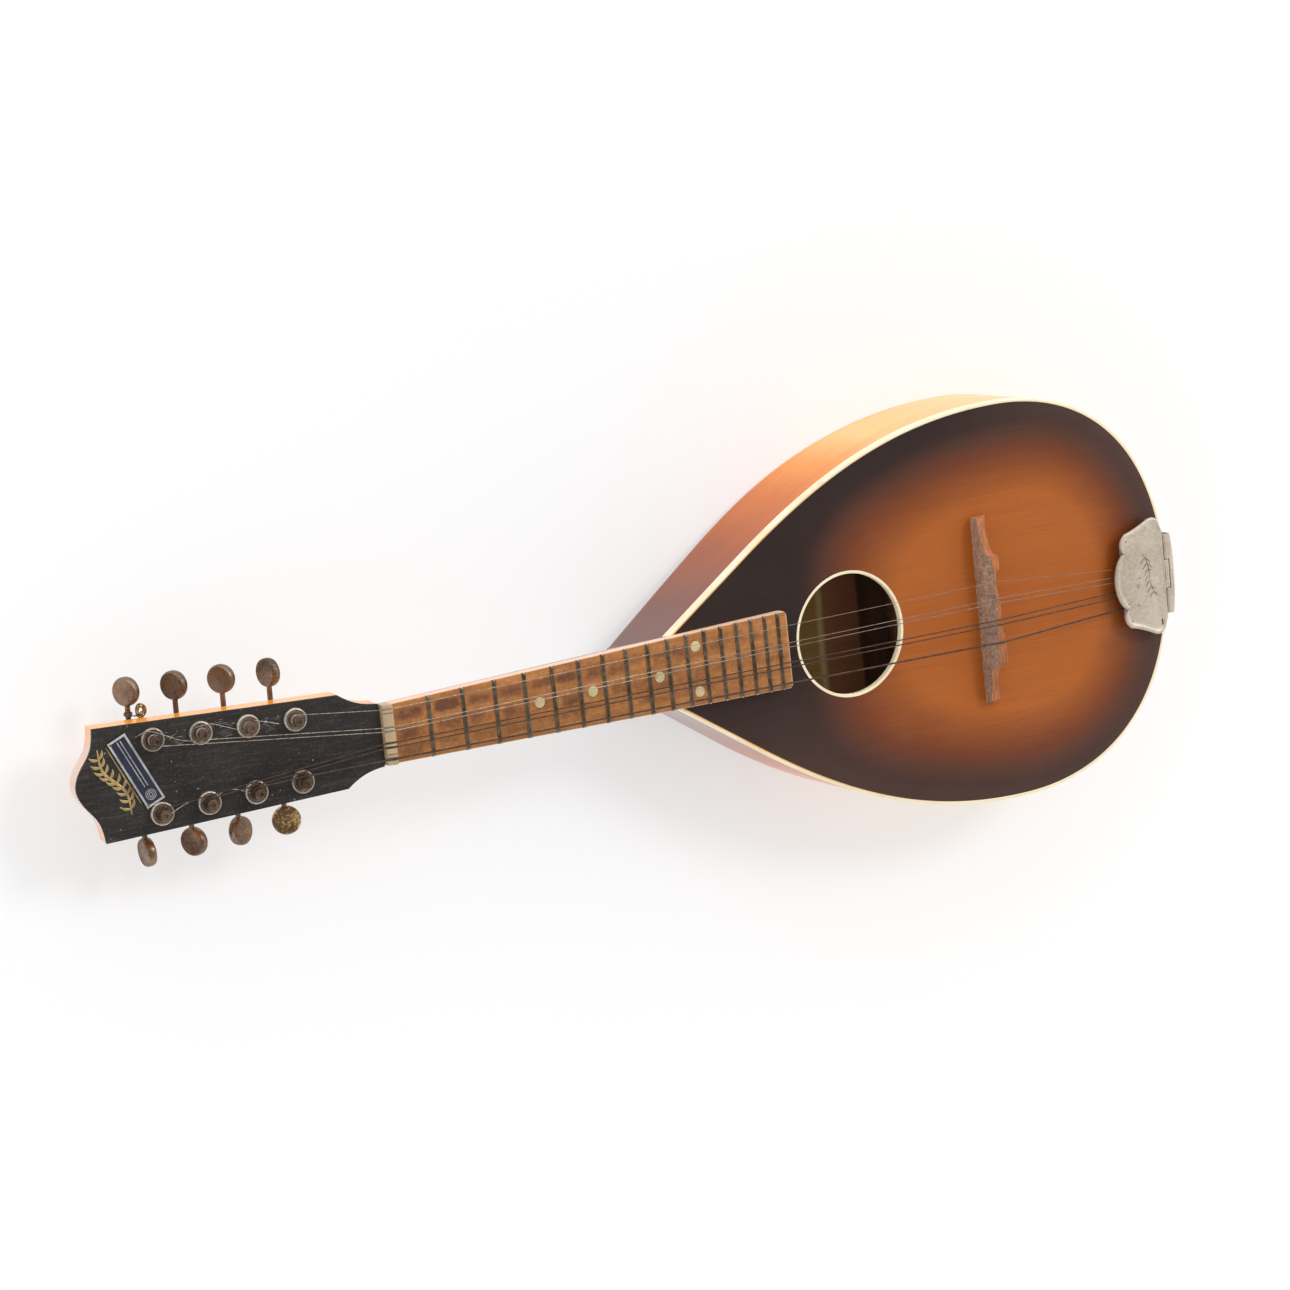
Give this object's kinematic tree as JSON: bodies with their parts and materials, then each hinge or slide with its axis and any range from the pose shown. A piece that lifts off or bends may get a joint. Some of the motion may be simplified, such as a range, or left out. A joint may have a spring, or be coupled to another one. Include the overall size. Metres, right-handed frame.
{
  "type": "mandolin",
  "caption": "Flat-back teardrop mandolin with a sunburst top, round sound hole, floating bridge, geared tuners and a hinged tailpiece cover.",
  "frame": {"origin": "middle of the overall length and width, on the plane of the flat part of the back", "axes": "+X from the head towards the tail, +Y towards the treble side, +Z out of the soundboard"},
  "size_m": [0.6272, 0.2126, 0.0669],
  "materials": {
    "soundboard_spruce": "satin sunburst lacquer over fine straight grain, orange-brown centre to near-black edge",
    "rim_wood": "satin amber-orange lacquer, darker red-brown towards the neck",
    "inner_wood": "bare unfinished wood",
    "binding": "aged cream celluloid",
    "neck_wood": "satin amber to red-brown lacquer",
    "head_black": "black face veneer, matte and scuffed",
    "fingerboard_wood": "worn oiled wood with darker played spots",
    "bone": "polished bone",
    "bridge_wood": "raw grey-brown wood, worn lacquer on the top edges",
    "nickel": "dull stained nickel plate",
    "tarnished_metal": "brown tarnished brass",
    "badge_enamel": "dark blue enamel with a plain silver border",
    "plain_string": "plain steel wire",
    "wound_string": "wound wire, tarnished"
  },
  "bodies": {
    "instrument": {"back_brace_1": "inner_wood", "back_brace_2": "inner_wood", "back_brace_3": "inner_wood", "back_lining_bass": "inner_wood", "back_lining_treble": "inner_wood", "back_plate": "rim_wood", "badge_plate": "badge_enamel", "bridge": "bridge_wood", "fingerboard": "fingerboard_wood", "head_overlay": "head_black", "neck": "neck_wood", "neck_block": "inner_wood", "nut": "bone", "post_ferrule_bass_1": "nickel", "post_ferrule_bass_2": "nickel", "post_ferrule_bass_3": "nickel", "post_ferrule_bass_4": "nickel", "post_ferrule_treble_1": "nickel", "post_ferrule_treble_2": "nickel", "post_ferrule_treble_3": "nickel", "post_ferrule_treble_4": "nickel", "side_bass": "rim_wood", "side_treble": "rim_wood", "sound_hole_ring": "binding", "soundboard": "soundboard_spruce", "string_a_inner": "plain_string", "string_a_outer": "plain_string", "string_d_inner": "wound_string", "string_d_outer": "wound_string", "string_e": "plain_string", "string_g": "wound_string", "tail_block": "inner_wood", "tailpiece_base": "nickel", "tailpiece_hinge_pin": "nickel", "top_binding": "binding", "top_brace_1": "inner_wood", "top_brace_2": "inner_wood", "top_brace_3": "inner_wood", "top_lining_bass": "inner_wood", "top_lining_treble": "inner_wood", "tuner_plate_bass": "nickel", "tuner_plate_treble": "nickel"},
    "knob_treble_1": {"tuner_knob_treble_1": "tarnished_metal"},
    "post_treble_1": {"tuner_post_treble_1": "tarnished_metal"},
    "knob_treble_2": {"tuner_knob_treble_2": "tarnished_metal"},
    "post_treble_2": {"tuner_post_treble_2": "tarnished_metal"},
    "knob_treble_3": {"tuner_knob_treble_3": "tarnished_metal"},
    "post_treble_3": {"tuner_post_treble_3": "tarnished_metal"},
    "knob_treble_4": {"tuner_knob_treble_4": "tarnished_metal"},
    "post_treble_4": {"tuner_post_treble_4": "tarnished_metal"},
    "knob_bass_1": {"tuner_knob_bass_1": "tarnished_metal"},
    "post_bass_1": {"tuner_post_bass_1": "tarnished_metal"},
    "knob_bass_2": {"tuner_knob_bass_2": "tarnished_metal"},
    "post_bass_2": {"tuner_post_bass_2": "tarnished_metal"},
    "knob_bass_3": {"tuner_knob_bass_3": "tarnished_metal"},
    "post_bass_3": {"tuner_post_bass_3": "tarnished_metal"},
    "knob_bass_4": {"tuner_knob_bass_4": "tarnished_metal"},
    "post_bass_4": {"tuner_post_bass_4": "tarnished_metal"},
    "cover": {"tailpiece_cover": "nickel"}
  },
  "joints": [
    {"name": "knob_treble_1_turn", "type": "hinge", "parent": "instrument", "child": "knob_treble_1", "pos_m": [-0.21037, 0.01526, 0.03358], "axis": [0.0376, 0.9993, 0.0047], "continuous": true},
    {"name": "post_treble_1_turn", "type": "hinge", "parent": "instrument", "child": "post_treble_1", "pos_m": [-0.20691, 0.01504, 0.05246], "axis": [-0.1253, 0, 0.9921], "continuous": true},
    {"name": "knob_treble_2_turn", "type": "hinge", "parent": "instrument", "child": "knob_treble_2", "pos_m": [-0.23319, 0.01613, 0.0307], "axis": [0.0376, 0.9993, 0.0047], "continuous": true},
    {"name": "post_treble_2_turn", "type": "hinge", "parent": "instrument", "child": "post_treble_2", "pos_m": [-0.22973, 0.01591, 0.04958], "axis": [-0.1253, 0, 0.9921], "continuous": true},
    {"name": "knob_treble_3_turn", "type": "hinge", "parent": "instrument", "child": "knob_treble_3", "pos_m": [-0.25601, 0.017, 0.02781], "axis": [0.0376, 0.9993, 0.0047], "continuous": true},
    {"name": "post_treble_3_turn", "type": "hinge", "parent": "instrument", "child": "post_treble_3", "pos_m": [-0.25255, 0.01678, 0.0467], "axis": [-0.1253, 0, 0.9921], "continuous": true},
    {"name": "knob_treble_4_turn", "type": "hinge", "parent": "instrument", "child": "knob_treble_4", "pos_m": [-0.27882, 0.01787, 0.02493], "axis": [0.0376, 0.9993, 0.0047], "continuous": true},
    {"name": "post_treble_4_turn", "type": "hinge", "parent": "instrument", "child": "post_treble_4", "pos_m": [-0.27537, 0.01765, 0.04381], "axis": [-0.1253, 0, 0.9921], "continuous": true},
    {"name": "knob_bass_1_turn", "type": "hinge", "parent": "instrument", "child": "knob_bass_1", "pos_m": [-0.21037, -0.01526, 0.03358], "axis": [0.0376, -0.9993, 0.0047], "continuous": true},
    {"name": "post_bass_1_turn", "type": "hinge", "parent": "instrument", "child": "post_bass_1", "pos_m": [-0.20691, -0.01504, 0.05246], "axis": [-0.1253, 0, 0.9921], "continuous": true},
    {"name": "knob_bass_2_turn", "type": "hinge", "parent": "instrument", "child": "knob_bass_2", "pos_m": [-0.23319, -0.01613, 0.0307], "axis": [0.0376, -0.9993, 0.0047], "continuous": true},
    {"name": "post_bass_2_turn", "type": "hinge", "parent": "instrument", "child": "post_bass_2", "pos_m": [-0.22973, -0.01591, 0.04958], "axis": [-0.1253, 0, 0.9921], "continuous": true},
    {"name": "knob_bass_3_turn", "type": "hinge", "parent": "instrument", "child": "knob_bass_3", "pos_m": [-0.25601, -0.017, 0.02781], "axis": [0.0376, -0.9993, 0.0047], "continuous": true},
    {"name": "post_bass_3_turn", "type": "hinge", "parent": "instrument", "child": "post_bass_3", "pos_m": [-0.25255, -0.01678, 0.0467], "axis": [-0.1253, 0, 0.9921], "continuous": true},
    {"name": "knob_bass_4_turn", "type": "hinge", "parent": "instrument", "child": "knob_bass_4", "pos_m": [-0.27882, -0.01787, 0.02493], "axis": [0.0376, -0.9993, 0.0047], "continuous": true},
    {"name": "post_bass_4_turn", "type": "hinge", "parent": "instrument", "child": "post_bass_4", "pos_m": [-0.27537, -0.01765, 0.04381], "axis": [-0.1253, 0, 0.9921], "continuous": true},
    {"name": "cover_hinge", "type": "hinge", "parent": "instrument", "child": "cover", "pos_m": [0.30736, -0.0022, 0.0598], "axis": [0, 1, 0], "range_deg": [0, 75]}
  ],
  "couplings": [
    {"joint": "post_treble_1_turn", "follows": "knob_treble_1_turn", "ratio": 0.071429},
    {"joint": "post_treble_2_turn", "follows": "knob_treble_2_turn", "ratio": 0.071429},
    {"joint": "post_treble_3_turn", "follows": "knob_treble_3_turn", "ratio": 0.071429},
    {"joint": "post_treble_4_turn", "follows": "knob_treble_4_turn", "ratio": 0.071429},
    {"joint": "post_bass_1_turn", "follows": "knob_bass_1_turn", "ratio": 0.071429},
    {"joint": "post_bass_2_turn", "follows": "knob_bass_2_turn", "ratio": 0.071429},
    {"joint": "post_bass_3_turn", "follows": "knob_bass_3_turn", "ratio": 0.071429},
    {"joint": "post_bass_4_turn", "follows": "knob_bass_4_turn", "ratio": 0.071429}
  ]
}
